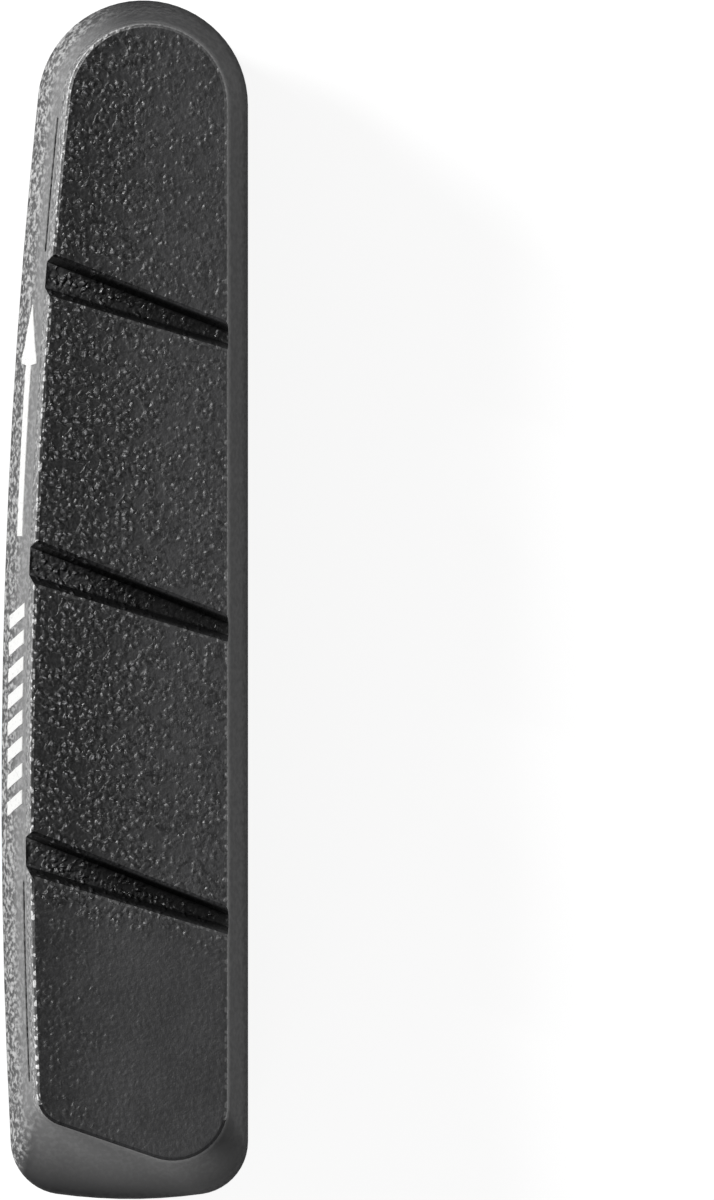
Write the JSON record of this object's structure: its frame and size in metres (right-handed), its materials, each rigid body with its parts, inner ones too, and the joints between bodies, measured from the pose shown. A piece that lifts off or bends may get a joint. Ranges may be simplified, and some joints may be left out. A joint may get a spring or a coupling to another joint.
{
  "type": "bicycle rim brake pad",
  "caption": "Moulded rubber insert for a bicycle rim brake: rounded front, slanted wedge grooves across the braking face, flared base and a T-shaped rail for the pad holder.",
  "frame": {"origin": "on the back of the rail, on its centre line, at half the length of the pad", "axes": "+Z out of the braking face, +Y towards the rounded front end, -X towards the tyre, +X towards the spokes"},
  "size_m": [0.0111, 0.054, 0.01],
  "materials": {
    "pad_rubber": "moulded rubber, pebbled on the braking face and the tyre side, smooth elsewhere",
    "marking_ink": "white printed ink"
  },
  "bodies": {
    "root": {"brake_pad": "pad_rubber"}
  },
  "joints": []
}
